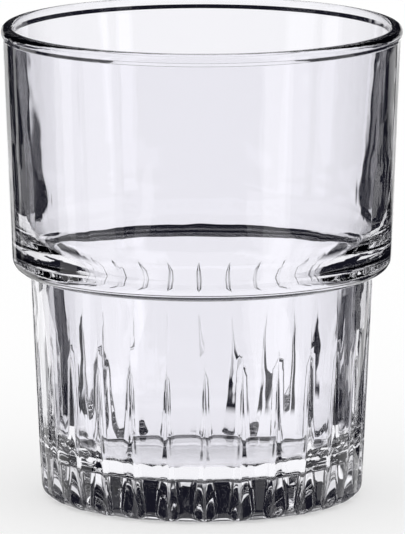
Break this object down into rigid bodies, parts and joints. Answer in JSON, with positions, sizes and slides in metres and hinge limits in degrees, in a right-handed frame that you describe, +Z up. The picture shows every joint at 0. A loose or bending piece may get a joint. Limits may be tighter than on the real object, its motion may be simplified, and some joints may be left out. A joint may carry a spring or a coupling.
{
  "type": "stacking drinking tumbler",
  "caption": "Clear pressed-glass stacking tumbler with a plain flared bowl, a stepped shoulder, a tapering body with pointed V flutes and a solid base.",
  "frame": {"origin": "centre of the ring it stands on, at table level", "axes": "+Z up along the glass's axis, -Y towards the picture's camera with one flute facing it"},
  "size_m": [0.0796, 0.0796, 0.0943],
  "materials": {
    "clear_glass": "fire-polished clear soda-lime glass"
  },
  "bodies": {
    "root": {"tumbler": "clear_glass"}
  },
  "joints": []
}
